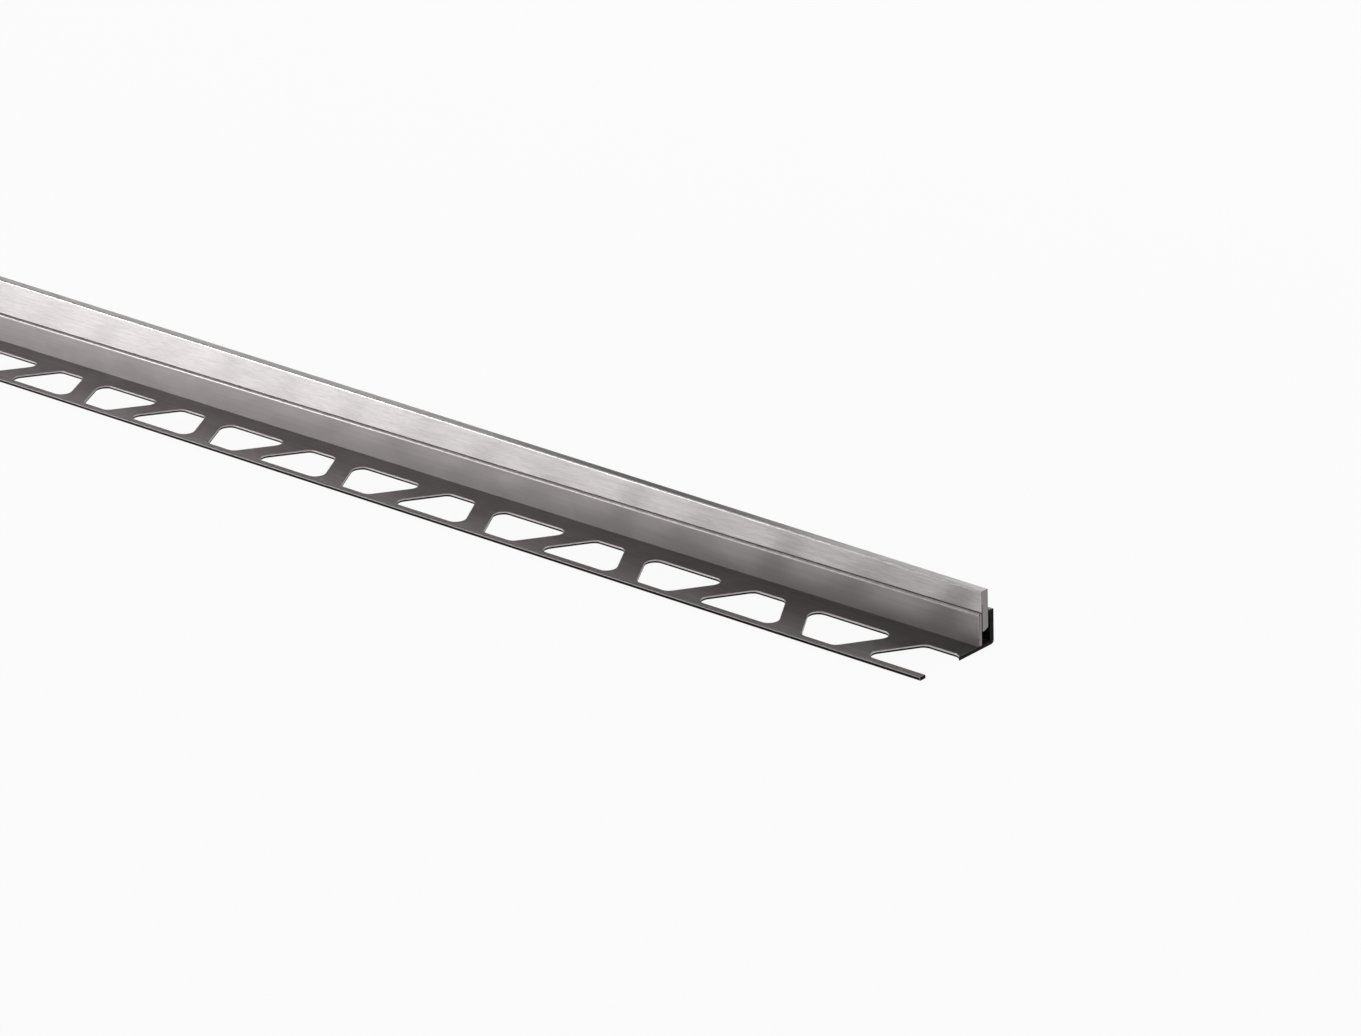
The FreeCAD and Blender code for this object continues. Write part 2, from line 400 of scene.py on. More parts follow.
class Wiring:
    """A node tree that is being wired."""

    def __init__(self, tree: bpy.types.NodeTree) -> None:
        """Take the tree."""
        self.tree = tree

    def node(self, kind: str, sockets: dict[str | int, object] | None = None,
             **settings: object) -> bpy.types.Node:
        """Add a node and set or wire its inputs.

        Args:
            kind: The node's type.
            sockets: What each input gets, by name or number: a value, or a socket to wire to it.
            settings: The node's own settings.

        Returns:
            The new node.
        """
        made = self.tree.nodes.new(kind)
        for name, setting in settings.items():
            setattr(made, name, setting)
        for key, value in (sockets or {}).items():
            if isinstance(value, Socket):
                self.tree.links.new(value, made.inputs[key])
            else:
                made.inputs[key].default_value = value
        return made

    def place(self, group: bpy.types.NodeTree, **inputs: float | Socket) -> Socket:
        """Place a shared group with its own inputs and return its one output."""
        return self.node("ShaderNodeGroup", inputs, node_tree=group).outputs[0]

    def math(self, operation: str, *values: float | Socket, clamp: bool = False) -> Socket:
        """Add a Math node and return its result."""
        made = self.node("ShaderNodeMath", dict(enumerate(values)),
                         operation=operation, use_clamp=clamp)
        return made.outputs[0]

    def blend(self, share: float | Socket, low: float | Socket, high: float | Socket) -> Socket:
        """Mix two values by a share and return the result."""
        made = self.node("ShaderNodeMix", {0: share, 2: low, 3: high}, data_type="FLOAT")
        return made.outputs[0]

    def blend_colour(self, share: float | Socket, low: Colour | Socket,
                     high: Colour | Socket) -> Socket:
        """Mix two colours by a share.

        Args:
            share: How much of the second colour there is.
            low: The first colour.
            high: The second colour.

        Returns:
            The mixed colour.
        """
        colours = [value if isinstance(value, Socket) else (*value, 1) for value in (low, high)]
        made = self.node("ShaderNodeMix", {0: share, 6: colours[0], 7: colours[1]},
                         data_type="RGBA")
        return made.outputs[2]

    def spread(self, value: Socket, low: float, high: float, to_low: float = 0,
               to_high: float = 1) -> Socket:
        """Spread a value from one range to another, smoothly and within its ends."""
        made = self.node("ShaderNodeMapRange", {0: value, 1: low, 2: high, 3: to_low, 4: to_high},
                         interpolation_type="SMOOTHSTEP")
        return made.outputs[0]

    def noise(self, at: Socket, scale: float | Socket, detail: float) -> Socket:
        """Add soft noise and return its value."""
        made = self.node("ShaderNodeTexNoise", {"Vector": at, "Scale": scale, "Detail": detail})
        return made.outputs["Fac"]

    def stretch(self, at: Socket, length: Socket, height: Socket) -> Socket:
        """Scale a place so that a pattern of size 1 gets a length along X and a height across.

        Args:
            at: The place, in metres.
            length: The pattern's length, in millimetres.
            height: The pattern's height, in millimetres.

        Returns:
            The scaled place.
        """
        along = self.math("DIVIDE", 1 / MM, length)
        across = self.math("DIVIDE", 1 / MM, height)
        scale = self.node("ShaderNodeCombineXYZ", {0: along, 1: across, 2: across}).outputs[0]
        return self.node("ShaderNodeVectorMath", {0: at, 1: scale},
                         operation="MULTIPLY").outputs[0]


def new_group(name: str, values: dict[str, float],
              output: str) -> tuple[Wiring, dict[str, Socket], Socket]:
    """Start a shader node group that takes Position and some values, and puts out one value.

    Args:
        name: The group's name.
        values: Each value input's usual setting.
        output: The output's name.

    Returns:
        The wiring of its tree, its inputs by name, and the socket that takes its output.
    """
    tree = bpy.data.node_groups.new(name, "ShaderNodeTree")
    tree.interface.new_socket("Position", in_out="INPUT", socket_type="NodeSocketVector")
    for key, usual in values.items():
        socket = tree.interface.new_socket(key, in_out="INPUT", socket_type="NodeSocketFloat")
        socket.default_value = usual
    tree.interface.new_socket(output, in_out="OUTPUT", socket_type="NodeSocketFloat")
    wiring = Wiring(tree)
    start = wiring.node("NodeGroupInput")
    given = {key: start.outputs[key] for key in ("Position", *values)}
    return wiring, given, wiring.node("NodeGroupOutput").inputs[output]


def make_grain_group() -> bpy.types.NodeTree:
    """Make fine streaks that run along the profile, coarse and fine ones mixed.

    Returns:
        A group with the inputs Position, Length and Width (both in millimetres), and the output
        Streaks, from 0 to 1.
    """
    coarse_scale, coarse_share = 0.31, 0.45
    darkest, lightest = 0.3, 0.7
    wiring, given, result = new_group("lengthwise_grain", {"Length": 8.0, "Width": 0.2},
                                      "Streaks")
    at = wiring.stretch(given["Position"], given["Length"], given["Width"])
    fine = wiring.noise(at, 1.0, 2.0)
    coarse = wiring.noise(at, coarse_scale, 1.0)
    mixed = wiring.blend(coarse_share, fine, coarse)
    wiring.tree.links.new(wiring.spread(mixed, darkest, lightest), result)
    return wiring.tree


def make_patch_group() -> bpy.types.NodeTree:
    """Make broad soft patches, where the finishing belt was lifted and set down.

    Returns:
        A group with the inputs Position, Length, Height (both in millimetres) and Threshold, and
        the output Patch, from 0 to 1.
    """
    below, above = -0.04, 0.06
    wiring, given, result = new_group(
        "belt_patches", {"Length": 30.0, "Height": 20.0, "Threshold": 0.55}, "Patch")
    at = wiring.stretch(given["Position"], given["Length"], given["Height"])
    over = wiring.math("SUBTRACT", wiring.noise(at, 1.0, 1.0), given["Threshold"])
    wiring.tree.links.new(wiring.spread(over, below, above), result)
    return wiring.tree


def make_edge_wear_and_highlight_group() -> bpy.types.NodeTree:
    """Make a mask of the rounded edges, broken up by small specks: wear, and a painted highlight.

    Returns:
        A group with the inputs Position, Edge, Speck (in millimetres) and Evenness, and one
        output, from 0 to 1: the share of edge wear and painted highlight.
    """
    bare, full = 0.35, 0.65
    wiring, given, result = new_group(
        "edge_wear_and_painted_highlight", {"Edge": 0.0, "Speck": 1.5, "Evenness": 0.6}, "Wear_And_Highlight")
    per_metre = wiring.math("DIVIDE", 1 / MM, given["Speck"])
    specks = wiring.noise(given["Position"], per_metre, 3.0)
    share = wiring.blend(given["Evenness"], wiring.spread(specks, bare, full), 1.0)
    wiring.tree.links.new(wiring.math("MULTIPLY", share, given["Edge"], clamp=True), result)
    return wiring.tree


def make_saw_group() -> bpy.types.NodeTree:
    """Make the arcs that a saw blade leaves across an end face.

    They are noise that changes only with the distance from the blade's middle, which lies 40 mm
    in front of the profile's middle and 110 mm above the floor.

    Returns:
        A group with the inputs Position and Spacing (in millimetres), and the output Marks, from
        0 to 1.
    """
    from_blade = (0, 0.04, -0.11)
    faint, deep = 0.3, 0.7
    wiring, given, result = new_group("saw_marks", {"Spacing": 0.25}, "Marks")
    per_metre = wiring.math("DIVIDE", 1 / MM, given["Spacing"])
    centred = wiring.node("ShaderNodeMapping", {"Vector": given["Position"],
                                                "Location": from_blade})
    axes = wiring.node("ShaderNodeSeparateXYZ", {0: centred.outputs[0]}).outputs
    squares = [wiring.math("POWER", axes[axis], 2.0) for axis in (1, 2)]
    radius = wiring.math("SQRT", wiring.math("ADD", *squares))
    uneven = wiring.node("ShaderNodeTexNoise", {"W": wiring.math("MULTIPLY", radius, per_metre),
                                                "Scale": 1.0, "Detail": 2.0},
                         noise_dimensions="1D")
    wiring.tree.links.new(wiring.spread(uneven.outputs["Fac"], faint, deep), result)
    return wiring.tree


@dataclass(frozen=True)
class Effects:
    """The shared shader groups.

    Attributes:
        grain: Streaks along the profile.
        patches: Patches that the finishing belt left.
        edges: Edge wear, with a painted highlight, on rounded edges.
        saw: Arcs that the saw left.
    """

    grain: bpy.types.NodeTree
    patches: bpy.types.NodeTree
    edges: bpy.types.NodeTree
    saw: bpy.types.NodeTree

    @classmethod
    def make(cls) -> "Effects":
        """Build each group once."""
        return cls(make_grain_group(), make_patch_group(), make_edge_wear_and_highlight_group(), make_saw_group())


def new_material(name: str) -> tuple[bpy.types.Material, Wiring]:
    """Start a material.

    Args:
        name: The material's name.

    Returns:
        The material and the wiring of its empty tree.
    """
    material = bpy.data.materials.new(name)
    material.use_nodes = True
    material.node_tree.nodes.clear()
    return material, Wiring(material.node_tree)


@dataclass(frozen=True)
class MetalFinish:
    """A satin or brushed metal, or the leg's mill finish, whose darker colour is painted shade.

    Attributes:
        name: The material's name.
        colour: What it reflects.
        dark: What it reflects in its darkest streaks and patches.
        edge_wear_and_highlight: What its rounded edges reflect: partly wear, mostly a painted
            highlight.
        roughness: The roughness between streaks, and in them.
        streak: Length and width of a streak, in millimetres.
        streak_depth: How much a streak darkens, from 0 to 1.
        patch: Length and height of a belt patch, in millimetres.
        patch_threshold: How rare the patches are. With 0.5 they cover about half.
        patch_depth: How much a patch darkens, from 0 to 1.
        bump: Depth of the streaks, in metres.
        anisotropy: How much the streaks stretch a highlight across themselves.
    """

    name: str
    colour: Colour
    dark: Colour
    edge_wear_and_highlight: Colour
    roughness: tuple[float, float]
    streak: tuple[float, float]
    streak_depth: float
    patch: tuple[float, float]
    patch_threshold: float
    patch_depth: float
    bump: float
    anisotropy: float

    def make(self, effects: Effects) -> bpy.types.Material:
        """Build the material.

        Args:
            effects: The shared shader groups.

        Returns:
            The material.
        """
        material, wiring = new_material(self.name)
        position = wiring.node("ShaderNodeTexCoord").outputs["Object"]
        edge = wiring.node("ShaderNodeAttribute", attribute_name=EDGE_ATTRIBUTE).outputs["Fac"]
        streaks = wiring.place(effects.grain, Position=position, Length=self.streak[0],
                               Width=self.streak[1])
        patches = wiring.place(effects.patches, Position=position, Length=self.patch[0],
                               Height=self.patch[1], Threshold=self.patch_threshold)
        # The rounded edges take a lighter colour: handling wear, and mostly a painted highlight.
        edge_wear_and_highlight = wiring.place(effects.edges, Position=position, Edge=edge)
        streaked = wiring.math("MULTIPLY", streaks, self.streak_depth)
        patched = wiring.math("MULTIPLY", patches, self.patch_depth)
        share = wiring.math("ADD", streaked, patched, clamp=True)
        worn = wiring.blend_colour(share, self.colour, self.dark)
        bump = wiring.node("ShaderNodeBump", {"Height": streaks, "Distance": self.bump})
        tangent = wiring.node("ShaderNodeTangent", direction_type="UV_MAP", uv_map=GRAIN_MAP)
        shader = wiring.node("ShaderNodeBsdfPrincipled",
                             {"Base Color": wiring.blend_colour(edge_wear_and_highlight, worn, self.edge_wear_and_highlight),
                              "Roughness": wiring.blend(streaks, *self.roughness),
                              "Metallic": 1.0, "Anisotropic": self.anisotropy,
                              "Tangent": tangent.outputs[0], "Normal": bump.outputs[0]})
        wiring.node("ShaderNodeOutputMaterial", {"Surface": shader.outputs[0]})
        return material


@dataclass(frozen=True)
class CutFinish:
    """A sawn, punched or trimmed face, burnished in part by the tool and a dull tear elsewhere,
    which the aluminium finishes paint near black as shade.

    Attributes:
        name: The material's name.
        burnished: What it reflects where the tool burnished it.
        torn_and_shade: What it reflects where the metal tore. The aluminium finishes paint it near
            black, as shade.
        rim: What its eased rim reflects.
        roughness: The roughness where it is burnished, and in the rest.
        spacing: From one tool mark to the next, in millimetres.
        front: In Y, the burnished part ends here.
        low: In Z, the burnished part starts here.
        fade: How far the one part passes into the other.
        bump: Depth of the marks, in metres.
        marked_share: How burnished the burnished part still is in its marks, from 0 to 1.
    """

    name: str
    burnished: Colour
    torn_and_shade: Colour
    rim: Colour
    roughness: tuple[float, float]
    spacing: float
    front: float
    low: float
    fade: float
    bump: float = 0.01 * MM
    marked_share: float = 0.75

    def make(self, effects: Effects) -> bpy.types.Material:
        """Build the material.

        Args:
            effects: The shared shader groups.

        Returns:
            The material.
        """
        material, wiring = new_material(self.name)
        position = wiring.node("ShaderNodeTexCoord").outputs["Object"]
        edge = wiring.node("ShaderNodeAttribute", attribute_name=EDGE_ATTRIBUTE).outputs["Fac"]
        axes = wiring.node("ShaderNodeSeparateXYZ", {0: position}).outputs
        marks = wiring.place(effects.saw, Position=position, Spacing=self.spacing)
        # Behind the front and below the low limit the tear's colour is used. The aluminium
        # finishes paint it near black, as shade.
        ahead = wiring.spread(axes[1], self.front, self.front + self.fade, 1, 0)
        above = wiring.spread(axes[2], self.low - self.fade, self.low)
        burnished_not_shaded = wiring.math("MULTIPLY", wiring.math("MULTIPLY", ahead, above),
                            wiring.blend(marks, self.marked_share, 1.0))
        face = wiring.blend_colour(burnished_not_shaded, self.torn_and_shade, self.burnished)
        bump = wiring.node("ShaderNodeBump", {"Height": marks, "Distance": self.bump})
        shader = wiring.node("ShaderNodeBsdfPrincipled",
                             {"Base Color": wiring.blend_colour(edge, face, self.rim),
                              "Roughness": wiring.blend(burnished_not_shaded, *reversed(self.roughness)),
                              "Metallic": 1.0, "Normal": bump.outputs[0]})
        wiring.node("ShaderNodeOutputMaterial", {"Surface": shader.outputs[0]})
        return material


@dataclass(frozen=True)
class SupportProfile:
    """The punched aluminium extrusion: leg, front wall, channel floor and back wall.

    Across the profile, sizes count from the leg's free edge. The punched trapezoids alternate,
    and their flanks run parallel, so that the webs between them are of one width.

    Attributes:
        node: The CAD node that it stands for.
        leg_sheet: Thickness of the leg and the channel's floor.
        leg_reach: From the leg's free edge to the front wall's face.
        wall_rise: Height of the front wall above the leg.
        wall_sheet: Its thickness.
        wall_round: Rounding of its top front edge.
        back_rise: Height of the back wall above the leg.
        back_sheet: Its thickness.
        back_top_round: Rounding of its outer top edge.
        back_foot_round: Rounding of its outer foot.
        hole_step: From one hole's middle to the next.
        first_hole_in: From the +X end to the first hole's middle.
        wall_land: Strip between the holes and the front wall.
        free_strip: Strip between the holes and the leg's free edge.
        web_width: Width of the web between two holes, along X.
        web_lean: How far one end of a web is from the other, along X.
        hole_round: Rounding of the holes' corners.
        edge_round: Rounding of the other edges along the profile.
        root_land: Strip of the leg's skin that is swept with the channel.
        punch_roll: Rounding of a hole's upper rim.
        burnish_low: Height at which a hole's wall starts to tear.
        tear_out: How much wider the tear makes the hole.
        burr_round: Rounding of a hole's lower rim.
        end_ease: Width of the sawn ends' eased rim.
        arc_steps: Steps in each corner of a hole.
        side_steps: Steps in each side of a hole.
        edge_steps: Steps in each rounded edge.
        spare_holes: Holes drawn past each end, and sawn off.
    """

    node: str = "support_profile"
    leg_sheet: float = 1.0 * MM
    leg_reach: float = 23.6 * MM
    wall_rise: float = 9.0 * MM
    wall_sheet: float = 1.1 * MM
    wall_round: float = 0.75 * MM
    back_rise: float = 8.7 * MM
    back_sheet: float = 1.4 * MM
    back_top_round: float = 0.3 * MM
    back_foot_round: float = 1.0 * MM
    hole_step: float = 29.0 * MM
    first_hole_in: float = 6.6 * MM
    wall_land: float = 6.8 * MM
    free_strip: float = 2.1 * MM
    web_width: float = 8.25 * MM
    web_lean: float = 9.7 * MM
    hole_round: float = 2.7 * MM
    edge_round: float = 0.12 * MM
    root_land: float = 0.3 * MM
    punch_roll: float = 0.18 * MM
    burnish_low: float = 0.52 * MM
    tear_out: float = 0.05 * MM
    burr_round: float = 0.04 * MM
    end_ease: float = 0.12 * MM
    arc_steps: int = 8
    side_steps: int = 4
    edge_steps: int = 6
    spare_holes: int = 2

    @cached_property
    def box(self) -> tuple[Vector, Vector]:
        """The piece's lowest and highest corner, from the frame."""
        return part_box(self.node)

    @property
    def half_length(self) -> float:
        """Half of the length."""
        return self.box[1].x

    @property
    def free_edge(self) -> float:
        """Where the leg's free edge lies."""
        return self.box[0].y

    @property
    def width(self) -> float:
        """The overall width."""
        return self.box[1].y - self.free_edge

    @property
    def holes_back(self) -> float:
        """Where the holes end, short of the front wall."""
        return self.leg_reach - self.wall_land

    @property
    def skin_reach(self) -> tuple[float, float]:
        """Where the leg's flat skin starts and ends, short of its rounded edge and the wall."""
        return 2 * self.edge_round, self.leg_reach - self.root_land

    def flank(self, across: float, kind: HoleKind) -> float:
        """Find the middle of the web on a hole's +X side, from the hole's own middle.

        It is half a step away at mid depth, and leans in a straight line to each side of it.

        Args:
            across: The place across the leg.
            kind: The hole's kind.

        Returns:
            The distance along X.
        """
        share = (across - self.free_strip) / (self.holes_back - self.free_strip)
        return self.hole_step / 2 - kind.value * self.web_lean * (share - 0.5)

    def hole_cell(self, kind: HoleKind) -> tuple[np.ndarray, np.ndarray, np.ndarray]:
        """Work out one hole and the skin around it, as rings about the hole's middle.

        The rings run from the cell's border over the top skin, down the rolled edge, the
        burnished part and the tear of the punched wall, and back out under the leg to the border.
        A ring in the hole's edge is its outline moved out by a quarter circle's offset, at the
        quarter circle's height. The tear widens the hole evenly towards the underside.

        Args:
            kind: The hole's kind.

        Returns:
            The points in rings, how rounded each ring is, and the surface of each ring of faces.
        """
        back = self.holes_back
        half_edge = self.flank(self.free_strip, kind) - self.web_width / 2
        half_wall = self.flank(back, kind) - self.web_width / 2
        trapezoid = [(-half_edge, self.free_strip), (half_edge, self.free_strip),
                     (half_wall, back), (-half_wall, back)]
        hole = round_outline([(*corner, self.hole_round) for corner in trapezoid],
                             self.arc_steps, self.side_steps, closed=True)
        near, far = self.skin_reach
        half_near, half_far = self.flank(near, kind), self.flank(far, kind)
        cell = [(-half_near, near), (half_near, near), (half_far, far), (-half_far, far)]
        border = divide_sides(np.array(cell), self.arc_steps + self.side_steps)
        quarter = np.linspace(0, math.pi / 2, self.edge_steps)
        offsets = np.concatenate([self.punch_roll * (1 - np.sin(quarter)), [0],
                                  self.tear_out + self.burr_round * (1 - np.cos(quarter))])
        heights = np.concatenate([self.leg_sheet - self.punch_roll * (1 - np.cos(quarter)),
                                  [self.burnish_low], self.burr_round * (1 - np.sin(quarter))])
        rings = hole.points[None] + offsets[:, None, None] * hole.normals[None]
        flat = np.concatenate([border[None], rings, border[None]])
        tall = np.concatenate([[self.leg_sheet], heights, [0]])
        points = np.concatenate([flat, np.broadcast_to(tall[:, None, None], (*flat.shape[:2], 1))],
                                axis=2)
        rolled = np.concatenate([[0], np.sin(2 * quarter), [0], np.sin(2 * quarter), [0]])
        faces = np.full(len(tall) - 1, Surface.LEG)
        faces[self.edge_steps // 2:-1] = Surface.PUNCHED
        return points, rolled, faces

    def edge_path(self) -> Outline:
        """Draw the leg's free edge, trimmed as the holes are punched, from top to underside."""
        near = self.skin_reach[0]
        return round_outline([(near, self.leg_sheet, 0), (0, self.leg_sheet, self.edge_round),
                              (0, 0, self.edge_round), (near, 0, 0)],
                             self.edge_steps, 1, closed=False)

    def channel_path(self) -> Outline:
        """Draw the channel, from the leg's underside around both walls to the leg's top.

        Returns:
            The rounded outline, open at both ends.
        """
        far = self.skin_reach[1]
        inside = self.leg_reach + self.wall_sheet
        channel_back = self.width - self.back_sheet
        wall_top = self.leg_sheet + self.wall_rise
        back_top = self.leg_sheet + self.back_rise
        return round_outline([(far, 0, 0),
                              (self.width, 0, self.back_foot_round),
                              (self.width, back_top, self.back_top_round),
                              (channel_back, back_top, self.edge_round),
                              (channel_back, self.leg_sheet, 0),
                              (inside, self.leg_sheet, 0),
                              (inside, wall_top, self.edge_round),
                              (self.leg_reach, wall_top, self.wall_round),
                              (self.leg_reach, self.leg_sheet, 0),
                              (far, self.leg_sheet, 0)],
                             self.edge_steps, 1, closed=False)

    def hole_middles(self) -> list[tuple[float, HoleKind]]:
        """List the holes from beyond +X to beyond -X.

        Returns:
            Each hole's middle and kind.
        """
        first = self.half_length - self.first_hole_in
        last = math.ceil(2 * self.half_length / self.hole_step) + self.spare_holes
        kinds = (HoleKind.LONG_AT_EDGE, HoleKind.LONG_AT_WALL)
        return [(first - number * self.hole_step, kinds[number % 2])
                for number in range(-self.spare_holes, last + 1)]

    def build(self) -> bpy.types.Object:
        """Build the piece: a cell for each hole, with the edge and the channel swept past it.

        Both sweeps take their stations along X from the border of each cell, so that all the
        grids weld.

        Returns:
            The finished piece.
        """
        shell = Shell()
        cells = {kind: self.hole_cell(kind) for kind in HoleKind}
        edge, channel = self.edge_path(), self.channel_path()
        stations = self.arc_steps + self.side_steps + 1
        trimmed = np.full(len(edge.points) - 1, Surface.LEG)
        trimmed[self.edge_steps // 2 + 1:-1] = Surface.TRIMMED
        for middle, kind in self.hole_middles():
            points, rolled, faces = cells[kind]
            shell.add_grid(points + (middle, self.free_edge, 0), rolled[:, None], True, faces)
            for path, place, skin in ((edge, self.skin_reach[0], trimmed),
                                      (channel, self.skin_reach[1], Surface.SKIN)):
                half = self.flank(place, kind)
                grid = np.empty((len(path.points), stations, 3))
                grid[..., 0] = middle + np.linspace(-half, half, stations)
                grid[..., 1:] = path.points[:, None] + (self.free_edge, 0)
                shell.add_grid(grid, path.edge[:, None], False, skin)
        return shell.build("punched_support", self.half_length, self.end_ease)

    def dress(self, piece: bpy.types.Object, effects: Effects) -> None:
        """Give the piece a finish for each of its surfaces, and its place in the frame.

        Args:
            piece: The finished piece.
            effects: The shared shader groups.
        """
        for finish in (SATIN_ALUMINIUM, SAWN_ALUMINIUM_PAINTED_SHADE, PUNCHED_ALUMINIUM_PAINTED_SHADE, TRIMMED_ALUMINIUM_PAINTED_SHADE,
                       LEG_ALUMINIUM_PAINTED_SHADE):
            piece.data.materials.append(finish.make(effects))
        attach(piece, "root")
        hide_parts(self.node)


@dataclass(frozen=True)
class WedgeInsert:
    """The brushed steel bar that stands in the channel, with its lip over the front wall.

    Its section is the same all along, apart from the top, which climbs in a straight line from
    the +X end to the -X end.

    Attributes:
        node: The CAD node that it stands for.
        sheet: Thickness of the part that stands in the channel.
        foot_bevel_in: Width of the bevel at the foot's back.
        foot_bevel_up: Height of that bevel.
        lip_sheet: Thickness of the lip.
        lip_drop: Depth of the slit behind the lip.
        lip_play: Gap between the lip and the front wall's top.
        wall_top: Where the front wall's top lies.
        low_rise: Where the bar's top lies at the +X end.
        top_round: Rounding of the rear top edge.
        top_front_round: Rounding of the front top edge.
        edge_round: Rounding of the edges in the channel and the slit.
        lip_round: Rounding of the lip's lower edges.
        end_ease: Width of the sawn ends' eased rim.
        overrun: The bar is drawn this many times as long, and sawn off.
        arc_steps: Steps in each rounded edge.
        stations: Places along the bar at which its section is drawn.
    """

    node: str = "wedge_insert"
    sheet: float = 2.2 * MM
    foot_bevel_in: float = 1.55 * MM
    foot_bevel_up: float = 0.6 * MM
    lip_sheet: float = 0.35 * MM
    lip_drop: float = 2.0 * MM
    lip_play: float = 0.1 * MM
    wall_top: float = SupportProfile.leg_sheet + SupportProfile.wall_rise
    low_rise: float = 15.9 * MM
    top_round: float = 0.35 * MM
    top_front_round: float = 0.45 * MM
    edge_round: float = 0.06 * MM
    lip_round: float = 0.08 * MM
    end_ease: float = 0.06 * MM
    overrun: float = 1.01
    arc_steps: int = 6
    stations: int = 41

    def section(self) -> Outline:
        """Draw the section at the low end.

        Returns:
            The rounded outline, closed.
        """
        low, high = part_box(self.node)
        front = high.y - self.sheet
        lip_back = low.y + self.lip_sheet
        lip_low = self.wall_top + self.lip_play
        slit_top = lip_low + self.lip_drop
        return round_outline([(front, low.z, self.edge_round),
                              (high.y - self.foot_bevel_in, low.z, self.edge_round),
                              (high.y, low.z + self.foot_bevel_up, self.edge_round),
                              (high.y, self.low_rise, self.top_round),
                              (low.y, self.low_rise, self.top_front_round),
                              (low.y, lip_low, self.lip_round),
                              (lip_back, lip_low, self.lip_round),
                              (lip_back, slit_top, self.edge_round),
                              (front, slit_top, self.edge_round)],
                             self.arc_steps, 1, closed=True)

    def build(self) -> bpy.types.Object:
        """Build the piece: the section at each station, its top raised by the slope so far.

        Returns:
            The finished piece.
        """
        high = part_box(self.node)[1]
        half_length = high.x
        slope = (high.z - self.low_rise) / (2 * half_length)
        section = self.section()
        climbs = section.points[:, 1] > (self.wall_top + self.low_rise) / 2
        reach = self.overrun * half_length
        stations = np.linspace(reach, -reach, self.stations)
        grid = np.empty((self.stations, len(section.points), 3))
        grid[..., 0] = stations[:, None]
        grid[..., 1] = section.points[:, 0]
        grid[..., 2] = section.points[:, 1] + climbs * slope * (half_length - stations)[:, None]
        shell = Shell()
        shell.add_grid(grid, section.edge, True)
        return shell.build("brushed_wedge", half_length, self.end_ease)

    def dress(self, piece: bpy.types.Object, effects: Effects) -> None:
        """Give the piece its brushed skin and sawn ends, and its place in the frame.

        Args:
            piece: The finished piece.
            effects: The shared shader groups.
        """
        for finish in (BRUSHED_STEEL, SAWN_STEEL):
            piece.data.materials.append(finish.make(effects))
        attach(piece, "root")
        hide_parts(self.node)


# A front or a low limit that the object never reaches.
ANYWHERE = 1.0

# The edge colour of each metal finish is lighter than its face: wear, and a painted highlight.
SATIN_ALUMINIUM = MetalFinish(
    name="satin_aluminium", colour=(0.3, 0.278, 0.278), dark=(0.24, 0.222, 0.222),
    edge_wear_and_highlight=(0.56, 0.52, 0.52), roughness=(0.41, 0.47), streak=(40.0, 0.35), streak_depth=0.35,
    patch=(14.0, 9.0), patch_threshold=0.5, patch_depth=0.3, bump=0.003 * MM, anisotropy=0.55)
# The leg: the wall's aluminium with its own streaks, and a darker colour that is painted shade.
LEG_ALUMINIUM_PAINTED_SHADE = MetalFinish(
    name="leg_aluminium_painted_shade", colour=(0.215, 0.199, 0.199), dark=(0.165, 0.153, 0.153),
    edge_wear_and_highlight=(0.5, 0.463, 0.463), roughness=(0.4, 0.46), streak=(25.0, 0.3), streak_depth=0.4,
    patch=(14.0, 9.0), patch_threshold=0.5, patch_depth=0.3, bump=0.003 * MM, anisotropy=0.3)
# The front wall's end is burnished. The ends of the leg, the floor and the back wall are painted
# near black: painted shade.
SAWN_ALUMINIUM_PAINTED_SHADE = CutFinish(
    name="sawn_aluminium_painted_shade", burnished=(0.262, 0.242, 0.242), torn_and_shade=(0.008, 0.007, 0.007),
    rim=(0.06, 0.056, 0.056), roughness=(0.35, 0.6), spacing=0.25,
    front=9.9 * MM, low=1.3 * MM, fade=0.3 * MM)
# Below the burnished band the holes' walls are near black: a dull tear, painted darker as shade.
PUNCHED_ALUMINIUM_PAINTED_SHADE = CutFinish(
    name="punched_aluminium_painted_shade", burnished=(0.6, 0.556, 0.556), torn_and_shade=(0.015, 0.014, 0.014),
    rim=(0.5, 0.463, 0.463), roughness=(0.35, 0.7), spacing=0.3,
    front=ANYWHERE, low=0.58 * MM, fade=0.1 * MM)
# The lower part of the leg's free edge is near black: a dull tear, painted darker as shade at the
# leg's foot.
TRIMMED_ALUMINIUM_PAINTED_SHADE = CutFinish(
    name="trimmed_aluminium_painted_shade", burnished=(0.4, 0.37, 0.37), torn_and_shade=(0.012, 0.011, 0.011),
    rim=(0.4, 0.37, 0.37), roughness=(0.35, 0.7), spacing=0.3,
    front=ANYWHERE, low=0.82 * MM, fade=0.1 * MM)
BRUSHED_STEEL = MetalFinish(
    name="brushed_steel", colour=(0.545, 0.522, 0.517), dark=(0.39, 0.373, 0.37),
    edge_wear_and_highlight=(0.86, 0.827, 0.819), roughness=(0.32, 0.38), streak=(2.8, 0.22), streak_depth=0.85,
    patch=(26.0, 40.0), patch_threshold=0.56, patch_depth=0.15, bump=0.004 * MM,
    anisotropy=0.85)
SAWN_STEEL = CutFinish(
    name="sawn_steel", burnished=(0.25, 0.232, 0.232), torn_and_shade=(0.195, 0.181, 0.181),
    rim=(0.34, 0.315, 0.315), roughness=(0.35, 0.5), spacing=0.25,
    front=ANYWHERE, low=-ANYWHERE, fade=0.3 * MM)


